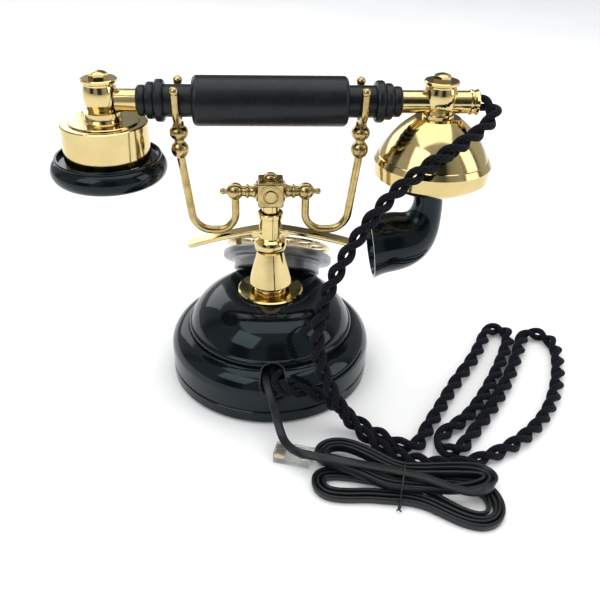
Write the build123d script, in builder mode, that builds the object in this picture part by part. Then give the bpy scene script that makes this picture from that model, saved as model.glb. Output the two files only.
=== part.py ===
"""A cradle telephone of the 1900s pattern: a round black base with a tilted dial, a brass stem,
a sprung brass cradle that carries a long handset, a braided handset cord and a flat line cord.

Millimetres, +Z up. The stem stands on the Z axis, the handset lies along X (earpiece at -X),
the dial faces +Y and the cords leave at the rear, -Y. The rest face is z = 0.
"""

import os
from math import cos, pi, radians, sin, tan

from build123d import *

os.makedirs("parts", exist_ok=True)

# --- Driving dimensions -------------------------------------------------------------------------

FIT = 0.05  # radial clearance of a running fit
GAP = 0.3  # clearance between pieces of different bodies

# Base
FOOT_R = 65.0
PAD_T = 1.2
FOOT_TOP = 9.2
WALL_BOTTOM = 10.4
WALL_TOP = 22.0
STEP_R, STEP_Z = 54.0, 34.0
DOME_R, DOME_Z = 51.5, 38.5
TOP_R, TOP_Z = 22.0, 58.0
SHELL_T = 2.4
HOLE_R, HOLE_Z = 8.4, 30.0
CLAMP_Y = -47.0

# Dial head: distance from the stem, height, tilt of its axis N above level, turn about the stem.
# Depths in the head are measured along N from the face of the cup.
DIAL_OUT, DIAL_Z, DIAL_TILT, DIAL_TURN = 44.2, 60.1, 52.0, 8.0
CUP_R, CUP_FLOOR_R, CUP_DEPTH = 37.5, 29.6, 13.0
NECK_RX, NECK_RY = 27.0, 24.5
WHEEL_R, WHEEL_LOW, WHEEL_T = 36.0, 4.6, 1.5
FINGER_HOLES, FINGER_R, FINGER_PITCH_R = 10, 5.4, 28.0
SHAFT_R = 3.0

# Stem
PLATE_R, PLATE_T = 20.8, 1.8
CONE_R, CONE_TOP_R, CONE_TOP = 13.6, 8.4, 87.0
COLLAR_R, COLLAR_TOP = 10.2, 96.0
TUBE_R, TUBE_TOP = 7.1, 113.0
PLUNGER_R, ROD_R = 5.3, 3.0
ROD_BOTTOM, SHOULDER_Z = 44.0, 84.0
WING_X, WING_W, WING_T = 51.0, 9.0, 2.6

# Cradle
HUB_W, HUB_Z = 15.4, 126.2
BALL_X, BALL_R = 21.0, 5.2
BAR_R = 2.45
FORK_X = 51.6
PRONG_R = 2.25

# Handset, lying along X at this height
AXIS_Z = 180.0
TUBE_OUT, TUBE_IN = 6.3, 4.8
TUBE_END_X = 117.0
GRIP_R, GRIP_HALF = 13.7, 43.0
NECK_RAD, NECK_END = 8.8, 58.3
EAR_X, MOUTH_X = -92.6, 95.2
BOSS_R, FLANGE_R, FLANGE_TOP = 9.4, 9.9, 192.2
NUT_WIDTH, NUT_TOP = 9.2, 196.2
EAR_CUP_R, EAR_CUP_TOP = 24.1, 168.4
EAR_CAP_R, EAR_CAP_BOTTOM = 33.0, 135.6
DOME_RIM_R, DOME_RIM_Z, BAND_BOTTOM = 34.3, 145.8, 137.5
SCREW_RING = 52.0

# Cords
BRAID_R = 4.0
FLAT_R = 2.3


def save(builder, name):
    builder.part.label = name
    export_step(builder.part, f"parts/{name}.step")


def turned(builder_plane, axis, points):
    """Revolve a closed outline of straight sides about an axis."""
    with BuildSketch(builder_plane) as section:
        with BuildLine():
            Polyline(*points, close=True)
        make_face()
    revolve(section.sketch, axis=axis)


def turned_at(x, points):
    """Revolve an outline of (radius, height) points about a vertical axis at X = x."""
    turned(Plane.XZ.shift_origin((x, 0, 0)), Axis((x, 0, 0), (0, 0, 1)), points)


HANDSET_PLANE = Plane(origin=(0, 0, AXIS_Z), x_dir=(1, 0, 0), z_dir=(0, -1, 0))
HANDSET_AXIS = Axis((0, 0, AXIS_Z), (1, 0, 0))
TURN_SIN, TURN_COS = sin(radians(DIAL_TURN)), cos(radians(DIAL_TURN))
DIAL_N = (
    TURN_SIN * cos(radians(DIAL_TILT)),
    TURN_COS * cos(radians(DIAL_TILT)),
    sin(radians(DIAL_TILT)),
)
DIAL_X = (-TURN_COS, TURN_SIN, 0)
DIAL = Plane(origin=(DIAL_OUT * TURN_SIN, DIAL_OUT * TURN_COS, DIAL_Z), x_dir=DIAL_X, z_dir=DIAL_N)
DIAL_SECTION = Plane(origin=DIAL.origin, x_dir=DIAL_X, z_dir=DIAL.y_dir)
DIAL_AXIS = Axis(DIAL.origin, DIAL_N)


def turned_dial(points):
    """Revolve (radius, height along N) points about the dial's axis; the section's Y runs down N."""
    turned(DIAL_SECTION, DIAL_AXIS, [(r, -n) for r, n in points])


# --- Base ---------------------------------------------------------------------------------------

with BuildPart() as felt_pad:
    with BuildSketch():
        Circle(FOOT_R - 3.5)
        with PolarLocations(SCREW_RING, 3):
            Circle(4.5, mode=Mode.SUBTRACT)
    extrude(amount=PAD_T)
save(felt_pad, "felt_pad")

with BuildPart() as foot_plate:
    turned(
        Plane.XZ,
        Axis.Z,
        [
            (0, PAD_T),
            (FOOT_R - 1, PAD_T),
            (FOOT_R, PAD_T + 1),
            (FOOT_R, FOOT_TOP - 0.6),
            (FOOT_R - 0.6, FOOT_TOP),
            (FOOT_R - 2, FOOT_TOP),
            (FOOT_R - 2, WALL_BOTTOM),
            (FOOT_R - 7, WALL_BOTTOM),
            (FOOT_R - 7, PAD_T + 2.4),
            (0, PAD_T + 2.4),
        ],
    )
    with Locations(Plane.XY.offset(PAD_T + 2.4)):
        with GridLocations(52, 22, 2, 2):
            with Locations((0, -26)):
                Cylinder(2.5, 5, align=(Align.CENTER, Align.CENTER, Align.MIN))
    with PolarLocations(SCREW_RING, 3):
        Hole(2.1)
save(foot_plate, "foot_plate")

with BuildPart() as plate_screws:
    with PolarLocations(SCREW_RING, 3):
        with Locations((0, 0, PAD_T - 0.9)):
            Cylinder(3.6, 0.9, align=(Align.CENTER, Align.CENTER, Align.MIN))
            Cylinder(1.8, 12, align=(Align.CENTER, Align.CENTER, Align.MIN))
            Box(6, 0.8, 0.5, align=(Align.CENTER, Align.CENTER, Align.MIN), mode=Mode.SUBTRACT)
save(plate_screws, "plate_screws")


def shell_profile(inset):
    """Half section of the base's skin, moved inwards by inset; the outside is inset 0."""
    with BuildLine() as outline:
        wall = Line((FOOT_R - inset, WALL_BOTTOM), (FOOT_R - inset, WALL_TOP))
        bulge = ThreePointArc(
            wall @ 1, (61.8 - 0.8 * inset, 29.6 - 0.6 * inset), (STEP_R - inset, STEP_Z - inset)
        )
        step = Line(bulge @ 1, (STEP_R - 1.1 - inset, STEP_Z - inset))
        bead = ThreePointArc(
            step @ 1, (STEP_R - 0.7 - inset, STEP_Z + 2.2 - inset), (DOME_R - inset, DOME_Z - inset)
        )
        dome = ThreePointArc(
            bead @ 1, (41.5 - 0.7 * inset, 52 - 0.7 * inset), (TOP_R - 0.3 * inset, TOP_Z - inset)
        )
        Polyline(dome @ 1, (0, TOP_Z - inset), (0, WALL_BOTTOM), wall @ 0)
    make_face(outline.edges())


def neck_loft(inset, depth):
    """The neck between the dome and the dial cup; its low end is inside the dome."""
    low_plane = Plane(origin=(40.5 * TURN_SIN, 40.5 * TURN_COS, STEP_Z - 2), x_dir=DIAL_X, z_dir=(0, 0, 1))
    with BuildSketch(low_plane) as low:
        Ellipse(NECK_RX + 3 - inset, 16.5 - inset)
    with BuildSketch(DIAL.offset(-depth)) as high:
        with Locations((0, NECK_RY - NECK_RX)):
            Ellipse(NECK_RX - inset, NECK_RY - inset)
    return loft([low.sketch, high.sketch], mode=Mode.PRIVATE)


with BuildPart() as neck_body:
    add(neck_loft(0, CUP_DEPTH))
with BuildPart() as neck_core:
    add(neck_loft(SHELL_T, CUP_DEPTH - 0.01))
with BuildPart() as dome_core:
    with BuildSketch(Plane.XZ):
        shell_profile(SHELL_T)
    revolve(axis=Axis.Z)

with BuildPart() as base_shell:
    with BuildSketch(Plane.XZ):
        shell_profile(0)
    revolve(axis=Axis.Z)
    add(neck_body.part)
    add(dome_core.part, mode=Mode.SUBTRACT)
    add(neck_core.part, mode=Mode.SUBTRACT)
    with Locations(Plane.XY.offset(TOP_Z)):
        Cylinder(ROD_R + 2.2, 12, mode=Mode.SUBTRACT)
        Cylinder(PLATE_R, 20, align=(Align.CENTER, Align.CENTER, Align.MIN), mode=Mode.SUBTRACT)
    with Locations(Plane((0, -FOOT_R, HOLE_Z), z_dir=(0, -1, 0))):
        Cylinder(HOLE_R, 50, mode=Mode.SUBTRACT)
    with BuildSketch(DIAL.offset(-CUP_DEPTH)):
        Circle(CUP_FLOOR_R)
    extrude(amount=CUP_DEPTH, mode=Mode.SUBTRACT)
    with BuildSketch(Plane.XY.offset(WALL_BOTTOM)):
        with PolarLocations(SCREW_RING, 3):
            Circle(3.4)
    extrude(amount=22)
    with BuildSketch(Plane.XY.offset(WALL_BOTTOM)):
        with PolarLocations(SCREW_RING, 3):
            Circle(1.85)
    extrude(amount=8, mode=Mode.SUBTRACT)
save(base_shell, "base_shell")

HOLE_PLANE = Plane((0, -50, HOLE_Z), x_dir=(1, 0, 0), z_dir=(0, -1, 0))
with BuildPart() as cable_grommet:
    with BuildSketch(HOLE_PLANE):
        Circle(HOLE_R - FIT)
        Circle(HOLE_R - 1.3, mode=Mode.SUBTRACT)
    extrude(amount=12)
    fillet(cable_grommet.edges().group_by(Axis.Y)[0], 0.5)
save(cable_grommet, "cable_grommet")

# --- Inside the base ----------------------------------------------------------------------------

FLOOR = PAD_T + 2.4

with BuildPart() as circuit_board:
    with BuildSketch(Plane.XY.offset(FLOOR + 5)):
        with Locations((0, -26)):
            RectangleRounded(62, 30, 2)
        with Locations((0, -26)):
            with GridLocations(52, 22, 2, 2):
                Circle(1.3, mode=Mode.SUBTRACT)
    extrude(amount=1.6)
    with Locations((-16, -26, FLOOR + 6.6)):
        Box(14, 12, 3, align=(Align.CENTER, Align.CENTER, Align.MIN))
    with Locations((10, -20, FLOOR + 6.6)):
        Cylinder(3.5, 9, align=(Align.CENTER, Align.CENTER, Align.MIN))
    with Locations((22, -32, FLOOR + 6.6)):
        Box(10, 6, 5, align=(Align.CENTER, Align.CENTER, Align.MIN))
save(circuit_board, "circuit_board")

with BuildPart() as cord_clamp:
    with Locations((0, CLAMP_Y + 2.5, FLOOR)):
        Box(20, 5, 34, align=(Align.CENTER, Align.CENTER, Align.MIN))
    fillet(cord_clamp.edges().filter_by(Axis.Z), 1)
save(cord_clamp, "cord_clamp")

GONG_X, GONG_Y, GONG_R = 27.0, 20.0, 15.0
with BuildPart() as gongs:
    for side in (-1, 1):
        with Locations((side * GONG_X, GONG_Y, FLOOR)):
            Cylinder(3, 17, align=(Align.CENTER, Align.CENTER, Align.MIN))
        with Locations((side * GONG_X, GONG_Y, FLOOR + 10)):
            Cylinder(GONG_R, 9, align=(Align.CENTER, Align.CENTER, Align.MIN))
        with Locations((side * GONG_X, GONG_Y, FLOOR + 10)):
            Cylinder(
                GONG_R - 1.5, 7.5, align=(Align.CENTER, Align.CENTER, Align.MIN), mode=Mode.SUBTRACT
            )
        with Locations((side * GONG_X, GONG_Y, FLOOR)):
            Cylinder(3, 19, align=(Align.CENTER, Align.CENTER, Align.MIN))
save(gongs, "gongs")

with BuildPart() as ringer_coil:
    with Locations((0, 45, FLOOR)):
        Box(30, 14, 3, align=(Align.CENTER, Align.CENTER, Align.MIN))
        Box(4, 14, 22, align=(Align.CENTER, Align.CENTER, Align.MIN))
    with Locations(Location((0, 45, FLOOR + 13), (0, 90, 0))):
        Cylinder(6.5, 26)
save(ringer_coil, "ringer_coil")

with BuildPart() as clapper:
    with Locations((0, 33, FLOOR)):
        Cylinder(1.6, 16, align=(Align.CENTER, Align.CENTER, Align.MIN))
    with Locations((0, 33, FLOOR + 14)):
        Box(16, 3, 3)
    with Locations(Location((0, 33, FLOOR + 14), (90, 0, 0))):
        Cylinder(0.9, 16, align=(Align.CENTER, Align.CENTER, Align.MIN))
    with Locations((0, 16, FLOOR + 14)):
        Sphere(3.2)
save(clapper, "clapper")

with BuildPart() as switch_bracket:
    with Locations((0, 3.6, FLOOR)):
        Box(22, 16, 1.2, align=(Align.CENTER, Align.CENTER, Align.MIN))
    with Locations((0, -3.8, FLOOR)):
        Box(22, 1.2, 35, align=(Align.CENTER, Align.CENTER, Align.MIN))
save(switch_bracket, "switch_bracket")

SWITCH_TOP = ROD_BOTTOM - 2.0
with BuildPart() as hook_switch:
    with Locations((0, 0.4, SWITCH_TOP)):
        Box(20, 7, 11, align=(Align.CENTER, Align.CENTER, Align.MAX))
    fillet(hook_switch.edges().filter_by(Axis.Y), 0.8)
    with Locations((0, 0.4, SWITCH_TOP)):
        Cylinder(1.5, 2 - GAP, align=(Align.CENTER, Align.CENTER, Align.MIN))
    with Locations((-7, 0.4, SWITCH_TOP - 11), (0, 0.4, SWITCH_TOP - 11), (7, 0.4, SWITCH_TOP - 11)):
        Box(3, 0.6, 6, align=(Align.CENTER, Align.CENTER, Align.MAX))
save(hook_switch, "hook_switch")

# --- Dial ---------------------------------------------------------------------------------------

with BuildPart() as dial_cup:
    turned_dial(
        [
            (20, -CUP_DEPTH),
            (28.8, -CUP_DEPTH),
            (CUP_FLOOR_R, -12.2),
            (CUP_FLOOR_R, -7.8),
            (30.6, -6.6),
            (31.2, -5.8),
            (36.6, -5.4),
            (CUP_R, -4.4),
            (CUP_R, -1.2),
            (36.3, 0),
            (31.6, 0),
            (31.6, -3.4),
            (27.2, -5.6),
            (27.2, -10.6),
            (20, -10.6),
        ]
    )
save(dial_cup, "dial_cup")

with BuildPart() as number_plate:
    turned_dial([(3.6, -1.6), (31.4, -1.6), (31.4, -0.2), (30.6, 0.3), (3.6, 0.3)])
save(number_plate, "number_plate")

with BuildPart() as dial_frame:
    turned_dial([(SHAFT_R + FIT, -5.8), (26.8, -5.8), (26.8, -4.2), (SHAFT_R + FIT, -4.2)])
    with BuildSketch(DIAL.offset(-10.6)):
        with PolarLocations(24, 3, start_angle=90):
            Circle(1.8)
    extrude(amount=9)
save(dial_frame, "dial_frame")

GEAR_TEETH, GEAR_ROOT, GEAR_TIP = 24, 15.0, 17.2
with BuildPart() as pulse_gear:
    with BuildSketch(DIAL.offset(-9.6)):
        Circle(GEAR_ROOT)
        with PolarLocations((GEAR_ROOT + GEAR_TIP) / 2 - 0.2, GEAR_TEETH):
            Trapezoid(GEAR_TIP - GEAR_ROOT + 0.8, 2.2, 90, 78, rotation=0)
        Circle(SHAFT_R, mode=Mode.SUBTRACT)
    extrude(amount=2)
save(pulse_gear, "pulse_gear")

with BuildPart() as dial_shaft:
    turned_dial(
        [
            (0, -11),
            (4.2, -11),
            (4.2, -9.6),
            (SHAFT_R, -9.6),
            (SHAFT_R, WHEEL_LOW - 1.2),
            (6, WHEEL_LOW - 1.2),
            (6, WHEEL_LOW),
            (0, WHEEL_LOW),
        ]
    )
save(dial_shaft, "dial_shaft")

FIRST_HOLE, HOLE_STEP, STOP_ANGLE = 52.0, 27.0, -35.0
with BuildPart() as finger_wheel:
    with BuildSketch(DIAL.offset(WHEEL_LOW)):
        Circle(WHEEL_R)
        for hole in range(FINGER_HOLES):
            angle = radians(FIRST_HOLE + HOLE_STEP * hole)
            with Locations((FINGER_PITCH_R * cos(angle), FINGER_PITCH_R * sin(angle))):
                Circle(FINGER_R, mode=Mode.SUBTRACT)
    extrude(amount=WHEEL_T)
    fillet(finger_wheel.edges().filter_by(GeomType.CIRCLE), 0.4)
save(finger_wheel, "finger_wheel")

CAP_LOW = WHEEL_LOW + WHEEL_T
with BuildPart() as dial_cap:
    turned_dial([(0, CAP_LOW), (16, CAP_LOW), (16, CAP_LOW + 0.7), (15, CAP_LOW + 1.5), (0, CAP_LOW + 1.5)])
save(dial_cap, "dial_cap")

with BuildPart() as finger_stop:
    stop = radians(STOP_ANGLE)
    arm_plane = Plane(
        origin=DIAL.origin,
        x_dir=DIAL.x_dir * cos(stop) + DIAL.y_dir * sin(stop),
        z_dir=DIAL.y_dir * cos(stop) - DIAL.x_dir * sin(stop),
    )
    with BuildSketch(arm_plane):
        with BuildLine():
            Polyline(
                (CUP_R, 4.2),
                (CUP_R + 1.3, 4.2),
                (CUP_R + 1.3, -8.6),
                (23.5, -8.6),
                (22.8, -7.9),
                (23.5, -7.2),
                (CUP_R, -7.2),
                close=True,
            )
        make_face()
    extrude(amount=2.2, both=True)
save(finger_stop, "finger_stop")

# --- Stem ---------------------------------------------------------------------------------------

STEM_LOW, SEAT_Z = 50.0, 62.0
PLATE_TOP = TOP_Z + PLATE_T
with BuildPart() as stem_plate:
    turned(
        Plane.XZ,
        Axis.Z,
        [
            (5.2, TOP_Z),
            (PLATE_R - 0.5, TOP_Z),
            (PLATE_R, TOP_Z + 0.5),
            (PLATE_R, PLATE_TOP - 0.7),
            (PLATE_R - 0.9, PLATE_TOP),
            (5.2, PLATE_TOP),
        ],
    )
save(stem_plate, "stem_plate")

with BuildPart() as stem_cone:
    with BuildSketch(Plane.XZ):
        with BuildLine():
            foot = Polyline((5.15, STEM_LOW), (5.15, PLATE_TOP), (10.4, PLATE_TOP))
            throat = ThreePointArc(foot @ 1, (9.3, PLATE_TOP + 1.6), (10.6, PLATE_TOP + 3.2))
            lip = Polyline(throat @ 1, (12.4, PLATE_TOP + 3.6), (CONE_R, PLATE_TOP + 5.2))
            side = Line(lip @ 1, (CONE_TOP_R, CONE_TOP))
            Polyline(
                side @ 1,
                (PLUNGER_R + 0.3, CONE_TOP),
                (PLUNGER_R + 0.3, SEAT_Z),
                (ROD_R + FIT, SEAT_Z),
                (ROD_R + FIT, STEM_LOW),
                foot @ 0,
            )
        make_face()
    revolve(axis=Axis.Z)
save(stem_cone, "stem_cone")

with BuildPart() as stem_nut:
    with BuildSketch(Plane.XY.offset(TOP_Z - SHELL_T)):
        RegularPolygon(8, 6)
        Circle(5.2, mode=Mode.SUBTRACT)
    extrude(amount=-4.5)
save(stem_nut, "stem_nut")

with BuildPart() as stem_collar:
    with BuildSketch(Plane.XZ):
        with BuildLine():
            low = Polyline((PLUNGER_R + FIT, CONE_TOP), (8.9, CONE_TOP), (9.3, CONE_TOP + 0.9))
            bulge = ThreePointArc(low @ 1, (COLLAR_R, CONE_TOP + 4.6), (9.2, COLLAR_TOP - 1.2))
            Polyline(
                bulge @ 1,
                (TUBE_R + 0.6, COLLAR_TOP),
                (PLUNGER_R + FIT, COLLAR_TOP),
                (PLUNGER_R + FIT, CONE_TOP),
            )
        make_face()
    revolve(axis=Axis.Z)
save(stem_collar, "stem_collar")

with BuildPart() as stem_tube:
    turned(
        Plane.XZ,
        Axis.Z,
        [
            (PLUNGER_R + FIT, COLLAR_TOP),
            (TUBE_R + 0.5, COLLAR_TOP),
            (TUBE_R, COLLAR_TOP + 0.8),
            (TUBE_R, TUBE_TOP - 3.2),
            (TUBE_R + 0.7, TUBE_TOP - 2.6),
            (TUBE_R + 0.7, TUBE_TOP - 0.5),
            (TUBE_R + 0.2, TUBE_TOP),
            (TUBE_R - 0.5, TUBE_TOP),
            (TUBE_R - 0.8, TUBE_TOP - 2.4),
            (PLUNGER_R + FIT, TUBE_TOP - 2.4),
        ],
    )
save(stem_tube, "stem_tube")


def carry_wing(side):
    """A flat bowed bar that a hand lifts the telephone by, with a small scroll at its root."""
    with BuildPart() as wing:
        with BuildSketch(Plane.XZ):
            with BuildLine():
                top = ThreePointArc((side * 4, 103.0), (side * 28, 98.5), (side * (WING_X + 2), 91.7))
                under = ThreePointArc(
                    (side * (WING_X + 2), 91.7 - WING_T), (side * 28, 98.5 - WING_T), (side * 4, 100.4)
                )
                Line(top @ 1, under @ 0)
                Line(under @ 1, top @ 0)
            make_face()
        extrude(amount=WING_W / 2, both=True)
        fillet(wing.edges().filter_by(lambda edge: edge.length > 30), 0.8)
        with BuildSketch(Plane.XY.offset(80)):
            with Locations((side * (WING_X - 24), 0)):
                SlotOverall(48, WING_W + 0.4)
            with Locations((side * 10, 0)):
                Rectangle(20, WING_W + 0.4)
        extrude(amount=40, mode=Mode.INTERSECT)
        with BuildSketch(Plane.XZ):
            with Locations((side * 9.4, 99.8)):
                Circle(2.1)
        extrude(amount=WING_W / 2, both=True)
        with Locations((0, 0, 100)):
            Cylinder(TUBE_R, 30, mode=Mode.SUBTRACT)
    return wing


for side_name, side in (("left", -1), ("right", 1)):
    save(carry_wing(side), f"carry_wing_{side_name}")

SPRING_TURNS, SPRING_WIRE = 8, 0.45
with BuildPart() as return_spring:
    spring_low, spring_high = SEAT_Z + SPRING_WIRE + 0.05, SHOULDER_Z - SPRING_WIRE - 0.05
    with BuildLine():
        coil = Helix(
            pitch=(spring_high - spring_low) / SPRING_TURNS,
            height=spring_high - spring_low,
            radius=4.3,
            center=(0, 0, spring_low),
        )
    with BuildSketch(Plane(origin=coil @ 0, z_dir=coil % 0)):
        Circle(SPRING_WIRE)
    sweep()
save(return_spring, "return_spring")

# --- Cradle -------------------------------------------------------------------------------------

HUB_LOW = HUB_Z - HUB_W / 2
with BuildPart() as plunger_rod:
    turned(
        Plane.XZ,
        Axis.Z,
        [
            (0, ROD_BOTTOM),
            (ROD_R, ROD_BOTTOM),
            (ROD_R, SHOULDER_Z),
            (PLUNGER_R, SHOULDER_Z),
            (PLUNGER_R, HUB_LOW),
            (0, HUB_LOW),
        ],
    )
save(plunger_rod, "plunger_rod")


def ringed_boss(face_plane):
    """Concentric turned rings round a raised disc."""
    for radius, height in ((6.6, 0.5), (5.6, 0.9), (3.2, 1.4)):
        with BuildSketch(face_plane) as disc:
            Circle(radius)
        extrude(disc.sketch, amount=height)
    for radius, depth in ((4.6, 0.9),):
        with BuildSketch(face_plane.offset(depth)) as groove:
            Circle(radius)
            Circle(3.2, mode=Mode.SUBTRACT)
        extrude(groove.sketch, amount=-0.6, mode=Mode.SUBTRACT)


with BuildPart() as cradle_hub:
    with Locations((0, 0, HUB_Z)):
        Box(HUB_W, HUB_W, HUB_W)
    fillet(cradle_hub.edges(), 1.2)
    ringed_boss(Plane((0, -HUB_W / 2, HUB_Z), x_dir=(1, 0, 0), z_dir=(0, -1, 0)))
    ringed_boss(Plane((0, HUB_W / 2, HUB_Z), x_dir=(1, 0, 0), z_dir=(0, 1, 0)))
    with BuildSketch(Plane.XY.offset(HUB_Z + HUB_W / 2)):
        Circle(6.8)
    extrude(amount=0.6)
    with BuildSketch(Plane.XY.offset(HUB_Z + HUB_W / 2 + 0.6)):
        Circle(5.6)
    extrude(amount=0.6)
save(cradle_hub, "cradle_hub")

SCREW_Z = HUB_Z + HUB_W / 2 + 1.2
with BuildPart() as hub_screw:
    with BuildSketch(Plane.XZ):
        with BuildLine():
            base = Polyline((0, SCREW_Z), (3.9, SCREW_Z), (3.9, SCREW_Z + 0.6))
            dome = ThreePointArc(base @ 1, (2.6, SCREW_Z + 2.2), (0, SCREW_Z + 2.9))
            Line(dome @ 1, base @ 0)
        make_face()
    revolve(axis=Axis.Z)
    with Locations((0, 0, SCREW_Z + 2.2)):
        Box(9, 0.9, 2, mode=Mode.SUBTRACT)
save(hub_screw, "hub_screw")

ARM_AXIS = Axis((0, 0, HUB_Z), (1, 0, 0))


def cradle_arm(side):
    """A turned side arm: stepped root, waist, bead, ball and a small finial."""
    with BuildPart() as arm:
        with BuildSketch(Plane((0, 0, HUB_Z), x_dir=(1, 0, 0), z_dir=(0, -1, 0))):
            with BuildLine():
                root = Polyline(
                    (side * HUB_W / 2, 0),
                    (side * HUB_W / 2, 6.3),
                    (side * 8.4, 6.3),
                    (side * 8.7, 5.5),
                )
                waist = ThreePointArc(root @ 1, (side * 10.2, 3.9), (side * 12.6, 3.3))
                bead = ThreePointArc(waist @ 1, (side * 13.7, 4.2), (side * 14.8, 3.3))
                Polyline(
                    bead @ 1,
                    (side * 16.6, 3.0),
                    (side * 25.0, 1.8),
                    (side * 28.0, 1.3),
                    (side * 28.0, 0),
                    root @ 0,
                )
            make_face()
        revolve(axis=ARM_AXIS)
        with Locations((side * BALL_X, 0, HUB_Z)):
            Sphere(BALL_R)
        with Locations((side * 28.3, 0, HUB_Z)):
            Sphere(1.9)
        with Locations((side * BALL_X, 0, HUB_Z - 4)):
            Cylinder(BAR_R, 6, align=(Align.CENTER, Align.CENTER, Align.MAX), mode=Mode.SUBTRACT)
    return arm


def hook_rod(side):
    """The round J-shaped bar from the arm's ball up to its fork."""
    with BuildPart() as rod:
        with BuildLine():
            path = FilletPolyline(
                (side * BALL_X, 0, HUB_Z - 4),
                (side * BALL_X, 0, 101),
                (side * 45.8, 0, 101),
                (side * FORK_X, 0, 149.2),
                radius=[11, 12],
            )
        with BuildSketch(Plane(origin=path @ 0, z_dir=path % 0)):
            Circle(BAR_R)
        sweep()
    return rod


FORK_BALL_Z, FORK_RC = 152.0, NECK_RAD + GAP + PRONG_R


def fork(side):
    """A ball and bead that carry two upright prongs, one each side of the handset's neck."""
    with BuildPart() as prongs:
        with BuildSketch(Plane.XZ.shift_origin((side * FORK_X, 0, 0))):
            with BuildLine():
                foot = Line((0, 147.0), (1.6, 147.0))
                ball = ThreePointArc(foot @ 1, (5.1, FORK_BALL_Z), (2.9, 156.6))
                neck = Line(ball @ 1, (2.9, 158.2))
                bead = ThreePointArc(neck @ 1, (5.4, 161.8), (3.6, 165.6))
                Polyline(bead @ 1, (3.0, 168.0), (0, 168.0), foot @ 0)
            make_face()
        revolve(axis=Axis((side * FORK_X, 0, 0), (0, 0, 1)))
        with BuildLine():
            near = Line((side * FORK_X, -FORK_RC, 187.5), (side * FORK_X, -FORK_RC, AXIS_Z))
            cup = ThreePointArc(
                near @ 1, (side * FORK_X, 0, AXIS_Z - FORK_RC), (side * FORK_X, FORK_RC, AXIS_Z)
            )
            Line(cup @ 1, (side * FORK_X, FORK_RC, 187.5))
        with BuildSketch(Plane(origin=near @ 0, z_dir=near % 0)):
            Circle(PRONG_R)
        sweep()
        with Locations((side * FORK_X, -FORK_RC, 188), (side * FORK_X, FORK_RC, 188)):
            Sphere(2.7)
        add(hook_rod(side).part, mode=Mode.SUBTRACT)
    return prongs


for side_name, side in (("left", -1), ("right", 1)):
    save(cradle_arm(side), f"cradle_arm_{side_name}")
    save(hook_rod(side), f"hook_rod_{side_name}")
    save(fork(side), f"fork_{side_name}")

# --- Handset ------------------------------------------------------------------------------------

with BuildPart() as handset_tube:
    with BuildSketch(HANDSET_PLANE):
        with BuildLine():
            Polyline(
                (EAR_X + 8, TUBE_IN),
                (EAR_X + 8, TUBE_OUT),
                (TUBE_END_X - 5.2, TUBE_OUT),
                (TUBE_END_X - 4.6, TUBE_OUT + 0.7),
                (TUBE_END_X - 3.6, TUBE_OUT + 0.7),
                (TUBE_END_X - 3.0, TUBE_OUT + 0.1),
                (TUBE_END_X - 1.8, TUBE_OUT + 0.3),
                (TUBE_END_X - 0.6, TUBE_OUT + 0.9),
                (TUBE_END_X, TUBE_OUT + 0.5),
                (TUBE_END_X, TUBE_IN),
                close=True,
            )
        make_face()
    revolve(axis=HANDSET_AXIS)
save(handset_tube, "handset_tube")

BORE_R = TUBE_OUT + 0.02
with BuildPart() as handset_grip:
    with BuildSketch(HANDSET_PLANE):
        with BuildLine():
            Polyline((-GRIP_HALF, BORE_R), (-GRIP_HALF, GRIP_R - 2.2))
            ThreePointArc(
                (-GRIP_HALF, GRIP_R - 2.2), (1.0 - GRIP_HALF, GRIP_R - 0.6), (3.0 - GRIP_HALF, GRIP_R)
            )
            Line((3.0 - GRIP_HALF, GRIP_R), (GRIP_HALF - 3.0, GRIP_R))
            ThreePointArc(
                (GRIP_HALF - 3.0, GRIP_R), (GRIP_HALF - 1.0, GRIP_R - 0.6), (GRIP_HALF, GRIP_R - 2.2)
            )
            Polyline((GRIP_HALF, GRIP_R - 2.2), (GRIP_HALF, BORE_R), (-GRIP_HALF, BORE_R))
        make_face()
    revolve(axis=HANDSET_AXIS)
save(handset_grip, "handset_grip")

RINGS = ((NECK_END, 63.4, 11.5), (63.4, 68.2, 10.0), (68.2, 73.2, 8.4))


def grip_collar(side):
    """The grip's neck and its three stepped rings, each with a rounded rim."""
    start = GRIP_HALF + 0.02
    outline = [(start, BORE_R), (start, NECK_RAD), (NECK_END, NECK_RAD)]
    for inner, outer, radius in RINGS:
        outline.append((inner, radius - 1.1))
        outline.append((inner + 0.5, radius - 0.35))
        outline.append((inner + 1.4, radius))
        outline.append((outer - 1.4, radius))
        outline.append((outer - 0.5, radius - 0.35))
        outline.append((outer, radius - 1.1))
    outline.append((RINGS[-1][1], BORE_R))
    with BuildPart() as collar:
        turned(HANDSET_PLANE, HANDSET_AXIS, [(side * x, radius) for x, radius in outline])
    return collar


for side_name, side in (("left", -1), ("right", 1)):
    save(grip_collar(side), f"grip_collar_{side_name}")


def boss_profile(x, foot):
    """A barrel boss with a flanged top; foot is the outline from the barrel down to its seat."""
    with BuildSketch(Plane.XZ.shift_origin((x, 0, 0))) as section:
        with BuildLine():
            top = Polyline(
                (0, FLANGE_TOP),
                (FLANGE_R - 0.5, FLANGE_TOP),
                (FLANGE_R, FLANGE_TOP - 0.5),
                (FLANGE_R, FLANGE_TOP - 1.7),
                (FLANGE_R - 1.2, FLANGE_TOP - 2.6),
                (FLANGE_R - 1.3, FLANGE_TOP - 3.4),
            )
            barrel = ThreePointArc(top @ 1, (BOSS_R, 182), foot[0])
            Polyline(barrel @ 1, *foot[1:], (0, foot[-1][1]), top @ 0)
        make_face()
    revolve(section.sketch, axis=Axis((x, 0, 0), (0, 0, 1)))


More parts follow.
